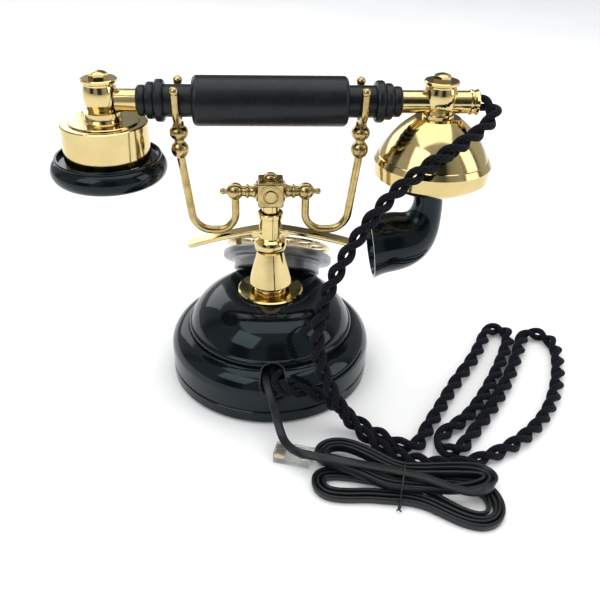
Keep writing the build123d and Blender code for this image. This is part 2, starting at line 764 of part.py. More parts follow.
DISC_TOP = EAR_CUP_TOP + 0.9
with BuildPart() as ear_boss:
    boss_profile(EAR_X, [(7.9, 174.6), (10.0, 174.3), (10.1, 171.2), (9.7, 170.6), (10.4, DISC_TOP)])
    with Locations(Location((EAR_X + 8, 0, AXIS_Z), (0, 90, 0))):
        Cylinder(TUBE_OUT + 0.02, 6, mode=Mode.SUBTRACT)
save(ear_boss, "ear_boss")

DOME_TOP = 171.4
with BuildPart() as mouth_boss:
    boss_profile(MOUTH_X, [(7.7, 175.8), (7.9, 174.2), (9.0, 173.6), (9.2, DOME_TOP)])
    with Locations(Location((MOUTH_X, 0, AXIS_Z), (0, 90, 0))):
        Cylinder(TUBE_OUT + 0.02, 30, mode=Mode.SUBTRACT)
save(mouth_boss, "mouth_boss")

with BuildPart() as boss_nuts:
    for x in (EAR_X, MOUTH_X):
        with BuildSketch(Plane.XY.offset(FLANGE_TOP)) as hexagon:
            with Locations((x, 0)):
                RegularPolygon(NUT_WIDTH / 2, 6, major_radius=False, rotation=12)
        extrude(hexagon.sketch, amount=NUT_TOP - FLANGE_TOP)
    with BuildPart(mode=Mode.PRIVATE) as crown:
        for x in (EAR_X, MOUTH_X):
            with Locations((x, 0, NUT_TOP - 9.0)):
                Sphere(9.0)
    add(crown.part, mode=Mode.INTERSECT)
save(boss_nuts, "boss_nuts")

CUP_LOW = 147.0
with BuildPart() as ear_cup:
    turned_at(
        EAR_X,
        [
            (0, EAR_CUP_TOP - 1.6),
            (0, DISC_TOP),
            (19.2, DISC_TOP),
            (19.6, DISC_TOP - 0.4),
            (19.6, EAR_CUP_TOP),
            (EAR_CUP_R - 0.6, EAR_CUP_TOP),
            (EAR_CUP_R, EAR_CUP_TOP - 0.6),
            (EAR_CUP_R + 0.2, CUP_LOW),
            (EAR_CUP_R - 1.4, CUP_LOW),
            (EAR_CUP_R - 1.6, EAR_CUP_TOP - 1.6),
        ],
    )
save(ear_cup, "ear_cup")

WELL_R, WELL_TOP = 29.6, 149.4
with BuildPart() as ear_cap:
    with BuildSketch(Plane.XZ.shift_origin((EAR_X, 0, 0))):
        with BuildLine():
            well = Polyline(
                (0, 142.5), (22.4, 142.5), (22.4, 147.0), (27.6, 147.0), (28.4, WELL_TOP), (WELL_R, WELL_TOP)
            )
            waist = ThreePointArc(well @ 1, (WELL_R + 0.5, WELL_TOP - 0.9), (WELL_R + 0.2, WELL_TOP - 1.9))
            cheek = ThreePointArc(waist @ 1, (EAR_CAP_R, 141.2), (28.8, EAR_CAP_BOTTOM))
            rest = ThreePointArc(cheek @ 1, (26.6, EAR_CAP_BOTTOM - 0.5), (24.4, EAR_CAP_BOTTOM))
            dish = ThreePointArc(rest @ 1, (13, EAR_CAP_BOTTOM + 3.6), (0, EAR_CAP_BOTTOM + 4.8))
            Line(dish @ 1, well @ 0)
        make_face()
    revolve(axis=Axis((EAR_X, 0, 0), (0, 0, 1)))
    with Locations((EAR_X, 0, EAR_CAP_BOTTOM)):
        Cylinder(1.5, 30, mode=Mode.SUBTRACT)
        with PolarLocations(6, 6):
            Cylinder(1.2, 30, mode=Mode.SUBTRACT)
save(ear_cap, "ear_cap")

with BuildPart() as receiver_capsule:
    turned_at(EAR_X, [(0, 142.6), (21, 142.6), (21, 150), (16, 150), (16, 155), (0, 155)])
save(receiver_capsule, "receiver_capsule")


def dome_line(inset):
    """Half outline of the mouthpiece's dome as (radius, height) points, moved inwards by inset."""
    with BuildLine() as outline:
        top = Line((0, DOME_TOP - inset), (13.0 - 0.5 * inset, DOME_TOP - inset))
        dome = ThreePointArc(top @ 1, (25.4 - 0.8 * inset, 160 - 0.6 * inset), (31.9 - inset, 149.2))
        ledge = Polyline(dome @ 1, (32.4 - inset, 148.8), (DOME_RIM_R - inset, DOME_RIM_Z))
        band = Line(ledge @ 1, (DOME_RIM_R - 0.7 - inset, BAND_BOTTOM))
        Polyline(band @ 1, (0, BAND_BOTTOM), top @ 0)
    return outline


with BuildPart() as mouth_dome:
    with BuildSketch(Plane.XZ.shift_origin((MOUTH_X, 0, 0))):
        make_face(dome_line(0).edges())
        make_face(dome_line(1.8).edges(), mode=Mode.SUBTRACT)
    revolve(axis=Axis((MOUTH_X, 0, 0), (0, 0, 1)))
save(mouth_dome, "mouth_dome")

HORN_R, HORN_JOINT = 8.8, 129.6
with BuildPart() as mouth_pan:
    with BuildSketch(Plane.XZ.shift_origin((MOUTH_X, 0, 0))):
        with BuildLine():
            rim = Polyline((9.4, HORN_JOINT + 1.8), (9.4, HORN_JOINT), (11, HORN_JOINT))
            bowl = ThreePointArc(rim @ 1, (25.5, 131.8), (DOME_RIM_R - 1.4, BAND_BOTTOM))
            lip = Line(bowl @ 1, (DOME_RIM_R - 3.4, BAND_BOTTOM))
            inner = ThreePointArc(lip @ 1, (24, 133.8), (12, HORN_JOINT + 1.8))
            Line(inner @ 1, rim @ 0)
        make_face()
    revolve(axis=Axis((MOUTH_X, 0, 0), (0, 0, 1)))
save(mouth_pan, "mouth_pan")

# Stations of the horn's centre line: X from the dome's axis, height, tilt from vertical, radius.
HORN = (
    (0.6, HORN_JOINT + 1.4, 0, HORN_R),
    (0.6, 121.0, 0, HORN_R),
    (0.4, 113.4, 8, 9.5),
    (-1.0, 106.4, 25, 11.4),
    (-4.2, 99.6, 48, 14.6),
    (-10.0, 94.6, 68, 17.2),
    (-18.7, 91.9, 81, 18.6),
    (-25.6, 90.6, 82, 19.0),
    (-30.6, 89.8, 83, 20.3),
    (-32.6, 89.5, 83, 21.0),
)


def horn_solid(inset):
    sections = []
    for dx, z, tilt, radius in HORN:
        direction = (-sin(radians(tilt)), 0, -cos(radians(tilt)))
        with BuildSketch(Plane(origin=(MOUTH_X + dx, 0, z), x_dir=(0, 1, 0), z_dir=direction)) as ring:
            Circle(radius - inset)
        sections.append(ring.sketch)
    return loft(sections, mode=Mode.PRIVATE)


with BuildPart() as mouth_horn:
    add(horn_solid(0))
    add(horn_solid(1.9), mode=Mode.SUBTRACT)
save(mouth_horn, "mouth_horn")

with BuildPart() as transmitter_capsule:
    turned_at(MOUTH_X, [(0, 138), (24, 138), (24, 146), (18, 146), (18, 150), (0, 150)])
save(transmitter_capsule, "transmitter_capsule")

# --- Cords --------------------------------------------------------------------------------------

SLEEVE_X = 114.0
with BuildPart() as cord_sleeve:
    with Locations(Location((SLEEVE_X, 0, AXIS_Z), (0, 90, 0))):
        Cylinder(TUBE_IN - 0.02, 12, align=(Align.CENTER, Align.CENTER, Align.MAX))
save(cord_sleeve, "cord_sleeve")

# Centre lines. The handset cord runs from the sleeve down to the table, out to the right, back
# and forth in three folds, and home to the hole in the base.
BRAID_ROUTE = [
    (SLEEVE_X, 0, AXIS_Z),
    (122, 0, AXIS_Z),
    (126, -6.8, 177),
    (121, -14.5, 172.5),
    (107, -26, 167),
    (87, -38, 159.5),
    (66, -44, 146),
    (47, -54, 126),
    (34, -62, 106),
    (25.5, -67.5, 85),
    (23.8, -70.5, 65),
    (27, -74, 48.5),
    (34.5, -78, 33),
    (43.5, -82, 18),
    (53.5, -85.5, 8.5),
    (64, -93, 4.2),
    (77.5, -102.3, 4.2),
    (98, -107.5, 4.2),
    (121, -103, 4.2),
    (146, -90, 4.2),
    (169, -69, 4.2),
    (187, -41, 4.2),
    (199, -11, 4.2),
    (203, 9, 4.2),
    (196.5, 21, 4.2),
    (184, 20, 4.2),
    (175.5, 2, 4.2),
    (160, -27, 4.2),
    (142, -54, 4.2),
    (125.5, -75, 4.2),
    (115, -87, 4.2),
    (107.5, -97, 4.2),
    (99.2, -96.2, 4.2),
    (96.1, -88.2, 4.2),
    (103.5, -79, 4.2),
    (119, -69, 4.2),
    (135.5, -49, 4.2),
    (152.5, -22.5, 4.2),
    (167.5, 5, 4.2),
    (174, 19.5, 4.2),
    (169, 27.5, 4.2),
    (159.6, 26.5, 4.2),
    (152, 12.5, 4.2),
    (139, -10, 4.2),
    (120.5, -34, 4.2),
    (105, -58.5, 4.2),
    (92, -78, 4.2),
    (85.5, -90, 4.2),
    (76.8, -92.4, 4.2),
    (66, -83.5, 4.2),
    (54.5, -75, 5.2),
    (44, -71.5, 13),
    (32, -69.5, 24),
    (20, -70.5, 30.5),
    (9.5, -71, 32),
    (2.8, -65, 30.9),
    (2.6, -54.5, 30.2),
    (2.6, CLAMP_Y, 30.2),
]
# The line cord drops from the hole, crosses over the plug and meets the top of the hank.
LINE_ROUTE = [
    (-4.4, CLAMP_Y, 30.2),
    (-4.4, -55, 30.2),
    (-3.4, -64, 29.6),
    (-0.8, -72, 25),
    (1.4, -77.5, 17.6),
    (3.2, -83.5, 12),
    (5.4, -91.5, 9.7),
    (11.5, -98.8, 9.6),
    (21.2, -102.6, 9.6),
]


def cord(route, radius, name):
    """A round tube of straight runs joined by tangent arcs, printed with its length and radii."""
    points = [Vector(*point) for point in route]
    radii = []
    for before, corner, after in zip(points, points[1:], points[2:]):
        run_in, run_out = corner - before, after - corner
        half_turn = radians(run_in.get_angle(run_out) / 2)
        radii.append(0.45 * min(run_in.length, run_out.length) / tan(half_turn))
    with BuildPart() as tube:
        with BuildLine() as path:
            FilletPolyline(*points, radius=radii)
        first = points[1] - points[0]
        with BuildSketch(Plane(origin=points[0], z_dir=first)) as section:
            Circle(radius)
        sweep(section.sketch, path=path.wires()[0])
    length = path.wires()[0].length
    ratio = tube.part.volume / (pi * radius**2 * length)
    print(f"{name}: length {length:.0f} mm, volume ratio {ratio:.3f}")
    print("  radii", " ".join(f"{value:.0f}" for value in radii))
    save(tube, name)
    return tube


cord(BRAID_ROUTE, BRAID_R, "handset_cord")
cord(LINE_ROUTE, FLAT_R, "line_cord")

HANK_TOP = 12.0
HANK_OUTLINE = [
    (19.4, -108),
    (20.6, -98),
    (27, -90),
    (36.5, -86.8),
    (46, -89),
    (55, -94.5),
    (65, -102.5),
    (75, -109.6),
    (90, -112.8),
    (106, -113.5),
    (118, -115),
    (125, -123),
    (126, -136),
    (122, -148),
    (110, -155),
    (97, -151.5),
    (82, -140),
    (66, -132),
    (50, -130.4),
    (33, -129.8),
    (23.5, -122),
]


def hank_plan(grow):
    with BuildSketch() as plan:
        with BuildLine():
            Spline(*HANK_OUTLINE, periodic=True)
        make_face()
        if grow:
            offset(amount=grow)
    return plan.sketch


def hank_body(grow):
    with BuildPart() as body:
        add(hank_plan(grow))
        extrude(amount=HANK_TOP + grow)
        fillet(body.edges().group_by(Axis.Z)[-1], 3.2)
    return body.part


LEAD_END = Vector(*LINE_ROUTE[-1])
LEAD_DIR = (LEAD_END - Vector(*LINE_ROUTE[-2])).normalized()
with BuildPart() as line_hank:
    add(hank_body(0))
    with Locations(Plane(origin=LEAD_END, z_dir=LEAD_DIR)):
        Box(2 * FLAT_R + 1, 2 * FLAT_R + 1, 6, align=(Align.CENTER, Align.CENTER, Align.MAX), mode=Mode.SUBTRACT)
save(line_hank, "line_hank")

TIE_PLANE = Plane(origin=(69.5, -121, 6), x_dir=(0.27, 0.963, 0), z_dir=(0.963, -0.27, 0))
with BuildPart() as hank_tie:
    with BuildSketch(TIE_PLANE) as band:
        with Locations((0.4, 0.6)):
            Rectangle(25.6, 12.6)
        fillet(band.vertices().group_by(Axis.Z)[-1], 3.6)
    extrude(amount=1.1, both=True)
    with Locations((65.4, -134.6, 3.4)):
        Sphere(2.2)
    add(hank_body(0), mode=Mode.SUBTRACT)
save(hank_tie, "hank_tie")

PLUG_W, PLUG_H, PLUG_L = 11.0, 6.5, 27.0
PLUG = Plane(origin=(0.5, -91.3, 0), x_dir=(0.96, -0.28, 0), z_dir=(0, 0, 1))
CONTACTS, CONTACT_PITCH = 6, 1.5
with BuildPart() as line_plug:
    with BuildSketch(PLUG):
        with Locations((PLUG_L / 2, 0)):
            Rectangle(PLUG_L, PLUG_W)
    extrude(amount=PLUG_H)
    fillet(line_plug.edges().filter_by(Axis.Z), 0.8)
    with BuildSketch(PLUG.offset(PLUG_H)):
        for index in range(CONTACTS):
            with Locations((3.6, (index - (CONTACTS - 1) / 2) * CONTACT_PITCH)):
                Rectangle(6.0, 0.7)
    extrude(amount=-3.2, mode=Mode.SUBTRACT)
    with BuildSketch(PLUG.offset(PLUG_H)):
        with Locations((16.5, -2.6)):
            Rectangle(4.6, 2.2)
    extrude(amount=-2.0, mode=Mode.SUBTRACT)
    add(hank_body(0), mode=Mode.SUBTRACT)
save(line_plug, "line_plug")

with BuildPart() as plug_contacts:
    with BuildSketch(PLUG.offset(PLUG_H - 3.2)):
        for index in range(CONTACTS):
            with Locations((3.6, (index - (CONTACTS - 1) / 2) * CONTACT_PITCH)):
                Rectangle(5.96, 0.66)
    extrude(amount=3.0)
save(plug_contacts, "plug_contacts")
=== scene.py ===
"""Blender scene of a cradle telephone of the 1900s pattern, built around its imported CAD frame.

Metres, +Z up, in the CAD's own frame: the stem stands on Z, the handset lies along X and the
cords leave at the rear, -Y. Cords and camera come first, then materials, then the small pieces.
"""

import math

import bpy
import numpy as np
from mathutils import Matrix, Vector


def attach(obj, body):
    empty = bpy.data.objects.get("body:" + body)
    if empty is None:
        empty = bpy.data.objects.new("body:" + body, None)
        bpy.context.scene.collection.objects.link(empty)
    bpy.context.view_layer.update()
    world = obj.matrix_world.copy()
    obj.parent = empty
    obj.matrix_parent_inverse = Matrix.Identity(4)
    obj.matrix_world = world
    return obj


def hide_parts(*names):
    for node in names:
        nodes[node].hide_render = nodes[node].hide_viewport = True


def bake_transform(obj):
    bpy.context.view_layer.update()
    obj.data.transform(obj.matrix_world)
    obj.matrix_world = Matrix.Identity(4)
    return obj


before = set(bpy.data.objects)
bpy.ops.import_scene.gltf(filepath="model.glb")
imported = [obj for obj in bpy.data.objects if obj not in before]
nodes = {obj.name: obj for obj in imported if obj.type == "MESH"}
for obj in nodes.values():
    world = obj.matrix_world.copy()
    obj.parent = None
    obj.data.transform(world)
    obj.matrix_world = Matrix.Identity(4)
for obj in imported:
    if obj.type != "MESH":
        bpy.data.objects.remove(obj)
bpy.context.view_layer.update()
scene = bpy.context.scene
MM = 0.001


def link(obj):
    scene.collection.objects.link(obj)
    return obj


# --- Camera -------------------------------------------------------------------------------------

YAW, PITCH, ROLL = 0.0733, 0.5628, 0.0268
forward = Vector(
    (math.sin(YAW) * math.cos(PITCH), math.cos(YAW) * math.cos(PITCH), -math.sin(PITCH))
)
level = Vector((math.cos(YAW), -math.sin(YAW), 0))
upward = level.cross(forward)
across = level * math.cos(ROLL) + upward * math.sin(ROLL)
upright = upward * math.cos(ROLL) - level * math.sin(ROLL)

camera = link(bpy.data.objects.new("camera", bpy.data.cameras.new("camera")))
camera.data.lens = 42
camera.data.sensor_width = 36
camera.data.clip_start = 0.01
camera.matrix_world = Matrix.LocRotScale(
    Vector((-0.0091, -0.3875, 0.2943)),
    Matrix((across, upright, -forward)).transposed(),
    None,
)
scene.camera = camera

# --- Cord lines ---------------------------------------------------------------------------------

# Millimetres. The handset cord runs from the handset's sleeve down to the table, out to the right,
# back and forth in three folds, and home to the hole in the base.
BRAID_ROUTE = [
    (114, 0, 180),
    (122, 0, 180),
    (126, -6.8, 177),
    (121, -14.5, 172.5),
    (107, -26, 167),
    (87, -38, 159.5),
    (66, -44, 146),
    (47, -54, 126),
    (34, -62, 106),
    (25.5, -67.5, 85),
    (23.8, -70.5, 65),
    (27, -74, 48.5),
    (34.5, -78, 33),
    (43.5, -82, 18),
    (53.5, -85.5, 8.5),
    (64, -93, 4.8),
    (77.5, -102.3, 4.8),
    (98, -107.5, 4.8),
    (121, -103, 4.8),
    (146, -90, 4.8),
    (169, -69, 4.8),
    (187, -41, 4.8),
    (199, -11, 4.8),
    (203, 9, 4.8),
    (196.5, 21, 4.8),
    (184, 20, 4.8),
    (175.5, 2, 4.8),
    (160, -27, 4.8),
    (142, -54, 4.8),
    (125.5, -75, 4.8),
    (115, -87, 4.8),
    (107.5, -97, 4.8),
    (99.2, -96.2, 4.8),
    (96.1, -88.2, 4.8),
    (103.5, -79, 4.8),
    (119, -69, 4.8),
    (135.5, -49, 4.8),
    (152.5, -22.5, 4.8),
    (167.5, 5, 4.8),
    (174, 19.5, 4.8),
    (169, 27.5, 4.8),
    (159.6, 26.5, 4.8),
    (152, 12.5, 4.8),
    (139, -10, 4.8),
    (120.5, -34, 4.8),
    (105, -58.5, 4.8),
    (92, -78, 4.8),
    (85.5, -90, 4.8),
    (76.8, -92.4, 4.8),
    (66, -83.5, 4.8),
    (54.5, -75, 5.8),
    (44, -71.5, 13),
    (32, -69.5, 24),
    (20, -70.5, 30.5),
    (9.5, -71, 32),
    (2.8, -65, 30.9),
    (2.6, -54.5, 30.2),
    (2.6, -47, 30.2),
]
# The line cord drops from the hole, crosses over the plug and lies along the top of its hank.
LINE_ROUTE = [
    (-4.4, -47, 30.2),
    (-4.4, -55, 30.2),
    (-3.4, -64, 29.6),
    (-0.8, -72, 25.5),
    (1.4, -77.8, 19.0),
    (3.2, -84.5, 14.6),
    (5.8, -93.5, 12.4),
    (11.5, -101.4, 12.4),
    (21.2, -105.8, 13.2),
    (31.4, -108.4, 13.3),
    (41.8, -111.4, 13.3),
    (55, -115.2, 13.3),
    (69.5, -119.6, 13.3),
    (82, -124.2, 13.0),
    (93, -129.4, 11.4),
]
# Turns of the hank in plan. The right ends run from front to rear, the upper turns' short and the
# lower turns' long; at the left the upper turns lie behind and the lower ones in front.
HANK_TOP_RIGHT = [
    (70.5, -126.8),
    (82, -128.4),
    (93, -130),
    (104, -129.8),
    (112.5, -127.8),
    (118, -123.8),
    (118.8, -118.6),
    (114.6, -114.4),
    (106, -112.4),
    (95, -111.6),
    (82, -111.2),
    (70.5, -110.2),
]
HANK_RIGHT = [
    (70.5, -131.2),
    (80, -134.6),
    (88, -140.6),
    (98, -147.4),
    (108.5, -150),
    (117, -146),
    (121.5, -137.5),
    (121, -128),
    (116.5, -120.8),
    (107.5, -117.2),
    (95, -115.4),
    (82, -112.8),
    (70.5, -109.6),
]
HANK_REAR = [
    (62, -103.2),
    (52, -95.6),
    (42, -90.6),
    (32, -90.3),
    (25, -94.6),
    (22.8, -101.2),
    (26.5, -106.8),
    (35, -110.2),
    (46, -115.4),
    (58, -124),
]
HANK_FRONT = [
    (60, -112),
    (47, -108.6),
    (34, -106.2),
    (24.6, -107.4),
    (20.6, -113.4),
    (21.8, -121.4),
    (28, -126.8),
    (38, -128.6),
    (50, -128.6),
    (62, -130.4),
]
FLAT_W, FLAT_T, LAY = 5.0, 2.3, 2.75
LOW_Z, HIGH_Z, OVER_PLUG_Z = 2.7, 8.1, 9.4
# Where the cord goes down from the upper turns to the lower ones.
DIVE_Z, DIVE_INSET = 6.2, 9.5


def inset(plan, amounts):
    """Points of a plan outline moved to their left, towards the inside of the hank."""
    points = np.array(plan, float)
    along = np.gradient(points, axis=0)
    along /= np.linalg.norm(along, axis=1)[:, None]
    inside = np.stack([-along[:, 1], along[:, 0]], axis=1)
    return points + inside * np.broadcast_to(amounts, len(points))[:, None]


def with_height(plan, heights):
    heights = np.broadcast_to(heights, len(plan))
    return [(x, y, z) for (x, y), z in zip(plan, heights)]


def wobble(count, size, rate, start):
    """Small sideways shifts that fade out at both ends of an outline."""
    return size * np.sin(np.arange(count) * rate + start) * np.hanning(count)


def hank_points():
    """Control points of the wound part: outside to inside on top, then inside to outside below."""
    lead_end = HANK_TOP_RIGHT[3:]
    outer = inset(lead_end, np.linspace(-LAY, -0.4, len(lead_end)))
    sink = np.interp(range(len(lead_end)), [0, 3], [OVER_PLUG_Z, HIGH_Z])
    points = with_height(outer, sink)
    rear = len(HANK_REAR)
    rise = np.interp(range(rear), [0, 2, rear - 3, rear - 1], [HIGH_Z, OVER_PLUG_Z, OVER_PLUG_Z, HIGH_Z])
    short = len(HANK_TOP_RIGHT)
    for depth in (0, LAY, 2 * LAY):
        points += with_height(inset(HANK_REAR, depth), rise)
        if depth < 2 * LAY:
            fan = np.linspace(depth, depth + LAY, short) + wobble(short, 0.5, 1.3, depth)
            points += with_height(inset(HANK_TOP_RIGHT, fan), HIGH_Z)
    long = len(HANK_RIGHT)
    dive = np.interp(range(long), [0, 2], [DIVE_Z, LOW_Z])
    points += with_height(inset(HANK_RIGHT, np.linspace(DIVE_INSET, 2 * LAY, long)), dive)
    for depth in (2 * LAY, LAY, 0):
        points += with_height(inset(HANK_FRONT, depth), LOW_Z)
        fan = np.linspace(depth, max(depth - LAY, -0.6), long) + wobble(long, 0.6, 1.1, depth)
        points += with_height(inset(HANK_RIGHT, fan), LOW_Z)
    return points


# From the hank's last turn to the plug.
PLUG_RUN = [
    (60, -104.6, 2.7),
    (48, -103.6, 3.0),
    (37, -101.8, 3.2),
    (29, -99.6, 3.3),
    (24.5, -98.3, 3.3),
]


def smooth_line(name, route, resolution=12, closed=False):
    """Points along the NURBS curve that has the route, in millimetres, as its control points."""
    data = bpy.data.curves.new(name, "CURVE")
    data.dimensions = "3D"
    data.resolution_u = resolution
    spline = data.splines.new("NURBS")
    spline.points.add(len(route) - 1)
    for point, place in zip(spline.points, route):
        point.co = (*(value * MM for value in place), 1)
    spline.order_u = 3
    spline.use_endpoint_u = not closed
    spline.use_cyclic_u = closed
    holder = bpy.data.objects.new(name, data)
    mesh = bpy.data.meshes.new_from_object(holder)
    line = np.array([vertex.co for vertex in mesh.vertices], float)
    bpy.data.meshes.remove(mesh)
    bpy.data.objects.remove(holder)
    bpy.data.curves.remove(data)
    return line


def travelled(line):
    return np.concatenate([[0], np.cumsum(np.linalg.norm(np.diff(line, axis=0), axis=1))])


def evenly(line, step):
    along = travelled(line)
    at = np.linspace(0, along[-1], round(along[-1] / step) + 1)
    return np.stack([np.interp(at, along, line[:, axis]) for axis in range(3)], axis=1), at


def tangents(line):
    direction = np.gradient(line, axis=0)
    return direction / np.linalg.norm(direction, axis=1)[:, None]


def carried_normals(line):
    """Normals that turn as little as they can from each point to the next."""
    direction = tangents(line)
    normal = np.cross(direction[0], (0, 0, 1))
    normals = []
    for way in direction:
        normal = normal - way * normal.dot(way)
        normal = normal / np.linalg.norm(normal)
        normals.append(normal)
    return np.array(normals)


def skin(name, sections, lengths, closed=False):
    """A mesh through equal rings of points, with UVs of the length along and the share round."""
    sections = np.asarray(sections)
    count, around = sections.shape[:2]
    faces, uvs = [], []
    for ring in range(count if closed else count - 1):
        following = (ring + 1) % count
        for side in range(around):
            other = (side + 1) % around
            faces.append(
                (
                    ring * around + side,
                    ring * around + other,
                    following * around + other,
                    following * around + side,
                )
            )
            near, far = side / around, (side + 1) / around
            end = lengths[ring + 1] if ring + 1 < len(lengths) else lengths[-1]
            uvs += [(lengths[ring], near), (lengths[ring], far), (end, far), (end, near)]
    if not closed:
        faces.append(tuple(reversed(range(around))))
        faces.append(tuple(range((count - 1) * around, count * around)))
        uvs += [(0, 0)] * (2 * around)
    mesh = bpy.data.meshes.new(name)
    mesh.from_pydata(sections.reshape(-1, 3).tolist(), [], faces)
    layer = mesh.uv_layers.new(name="along")
    layer.data.foreach_set("uv", np.array(uvs, np.float32).ravel())
    mesh.polygons.foreach_set("use_smooth", np.ones(len(faces), bool))
    if not closed:
        for face in mesh.polygons[-2:]:
            face.use_smooth = False
    return mesh


def joined(name, meshes, material):
    """One object made of several meshes."""
    parts = [link(bpy.data.objects.new(name, mesh)) for mesh in meshes]
    bpy.ops.object.select_all(action="DESELECT")
    for part in parts:
        part.select_set(True)
    bpy.context.view_layer.objects.active = parts[0]
    if len(parts) > 1:
        bpy.ops.object.join()
    whole = parts[0]
    whole.name = name
    whole.data.name = name
    whole.data.materials.clear()
    whole.data.materials.append(material)
    return whole


def tube_rings(line, radii, around):
    direction, normal = tangents(line), carried_normals(line)
    other = np.cross(direction, normal)
    angle = np.linspace(0, 2 * math.pi, around, endpoint=False)
    spoke = normal[:, None] * np.cos(angle)[None, :, None] + other[:, None] * np.sin(angle)[None, :, None]
    return line[:, None] + spoke * np.broadcast_to(radii, len(line))[:, None, None]


# --- Materials ----------------------------------------------------------------------------------


class Finish:
    """A Principled material with short calls for the nodes that vary it over the surface."""

    def __init__(self, name, **values):
        self.material = bpy.data.materials.new(name)
        self.material.use_nodes = True
        self.tree = self.material.node_tree
        self.shader = self.tree.nodes["Principled BSDF"]
        for socket, value in values.items():
            self.shader.inputs[socket.replace("_", " ")].default_value = value

    def node(self, kind, **settings):
        made = self.tree.nodes.new(kind)
        for key, value in settings.items():
            setattr(made, key, value)
        return made

    def wire(self, source, target):
        self.tree.links.new(source, target)

    def place(self):
        return self.node("ShaderNodeTexCoord").outputs["Object"]

    def noise(self, scale, detail=3.0, roughness=0.55, stretch=(1, 1, 1)):
        mapping = self.node("ShaderNodeMapping")
        mapping.inputs["Scale"].default_value = stretch
        self.wire(self.place(), mapping.inputs["Vector"])
        noise = self.node("ShaderNodeTexNoise")
        noise.inputs["Scale"].default_value = scale
        noise.inputs["Detail"].default_value = detail
        noise.inputs["Roughness"].default_value = roughness
        self.wire(mapping.outputs["Vector"], noise.inputs["Vector"])
        return noise.outputs["Fac"]

    def ramp(self, factor, *stops):
        """A colour ramp of (position, colour) stops."""
        ramp = self.node("ShaderNodeValToRGB").color_ramp
        while len(ramp.elements) < len(stops):
            ramp.elements.new(0.5)
        for element, (position, colour) in zip(ramp.elements, stops):
            element.position = position
            element.color = (*colour, 1)
        node = self.tree.nodes[-1]
        self.wire(factor, node.inputs["Fac"])
        return node.outputs["Color"]

    def span(self, factor, low, high, start=0.3, end=0.7):
        spread = self.node("ShaderNodeMapRange")
        for socket, value in zip(("From Min", "From Max", "To Min", "To Max"), (start, end, low, high)):
            spread.inputs[socket].default_value = value
        self.wire(factor, spread.inputs["Value"])
        return spread.outputs["Result"]

    def mix(self, factor, first, second):
        mix = self.node("ShaderNodeMix", data_type="RGBA")
        self.wire(factor, mix.inputs[0])
        for socket, value in ((mix.inputs[6], first), (mix.inputs[7], second)):
            if isinstance(value, tuple):
                socket.default_value = (*value, 1)
            else:
                self.wire(value, socket)
        return mix.outputs[2]

    def maths(self, operation, *values):
        made = self.node("ShaderNodeMath", operation=operation)
        for socket, value in zip(made.inputs, values):
            if isinstance(value, (int, float)):
                socket.default_value = value
            else:
                self.wire(value, socket)
        return made.outputs[0]

    def colour(self, source):
        self.wire(source, self.shader.inputs["Base Color"])

    def mottle(self, scale, detail, dark, light):
        """A base colour that drifts between two tones."""
        self.colour(self.ramp(self.noise(scale, detail), (0.3, dark), (0.7, light)))

    def rough(self, source):
        self.wire(source, self.shader.inputs["Roughness"])

    def bump(self, height, depth, strength=1.0):
        bump = self.node("ShaderNodeBump")
        bump.inputs["Strength"].default_value = strength
        bump.inputs["Distance"].default_value = depth
        self.wire(height, bump.inputs["Height"])
        self.wire(bump.outputs["Normal"], self.shader.inputs["Normal"])

    def recess(self, distance):
        """1 on open surface, lower in corners and grooves; used to paint shade into the colour there."""
        shade = self.node("ShaderNodeAmbientOcclusion", samples=8)
        shade.inputs["Distance"].default_value = distance
        return shade.outputs["AO"]


def polished_brass():
    finish = Finish("polished_brass", Metallic=1.0)
    cloud = finish.noise(45, 4)
    metal = finish.ramp(
        cloud, (0.3, (0.60, 0.47, 0.21)), (0.55, (0.68, 0.54, 0.255)), (0.75, (0.74, 0.60, 0.30))
    )
    finish.colour(metal)
    smear = finish.noise(260, 5, 0.6, (1, 1, 0.25))
    finish.rough(finish.span(smear, 0.055, 0.15))
    finish.bump(finish.noise(1500, 2), 0.00002, 0.5)
    return finish.material


def aged_brass():
    finish = Finish("aged_brass", Metallic=1.0)
    cloud = finish.noise(140, 5, 0.62)
    metal = finish.ramp(
        cloud, (0.3, (0.34, 0.245, 0.095)), (0.52, (0.50, 0.385, 0.165)), (0.75, (0.60, 0.48, 0.225))
    )
    # Painted shade: the brass colour darkens to a deep brown in corners and grooves, where occlusion is
    # low.
    unshaded_share = finish.span(finish.recess(0.0035), 0.0, 1.0, 0.35, 0.82)
    finish.colour(finish.mix(unshaded_share, (0.085, 0.045, 0.016), metal))
    finish.rough(finish.span(finish.noise(420, 4), 0.12, 0.30))
    finish.bump(finish.noise(900, 4), 0.00005, 0.6)
    return finish.material


def black_gloss():
    finish = Finish(
        "black_gloss",
        Specular_IOR_Level=0.25,
        Specular_Tint=(0.62, 0.88, 1.0, 1),
        Coat_Weight=0.15,
        Coat_Roughness=0.03,
    )
    cloud = finish.noise(30, 4)
    finish.colour(finish.ramp(cloud, (0.35, (0.0022, 0.0032, 0.0040)), (0.7, (0.0040, 0.0056, 0.0066))))
    dust = finish.noise(700, 6, 0.7)
    finish.rough(finish.span(dust, 0.07, 0.20, 0.45, 0.8))
    finish.bump(finish.noise(110, 2), 0.00006, 0.35)
    return finish.material


def grip_black():
    finish = Finish("grip_black", Specular_IOR_Level=0.3)
    finish.mottle(60, 4, (0.0035, 0.0048, 0.0062), (0.0062, 0.0080, 0.0100))
    finish.rough(finish.span(finish.noise(350, 5), 0.26, 0.40))
    finish.bump(finish.noise(2600, 3), 0.00004, 0.6)
    return finish.material


def cup_grey():
    finish = Finish("cup_grey", Metallic=0.85, Coat_Weight=0.4, Coat_Roughness=0.1)
    cloud = finish.noise(55, 4)
    finish.colour(finish.ramp(cloud, (0.3, (0.17, 0.185, 0.195)), (0.7, (0.36, 0.38, 0.39))))
    finish.rough(finish.span(finish.noise(300, 5), 0.28, 0.46))
    finish.bump(finish.noise(900, 3), 0.00004, 0.4)
    return finish.material


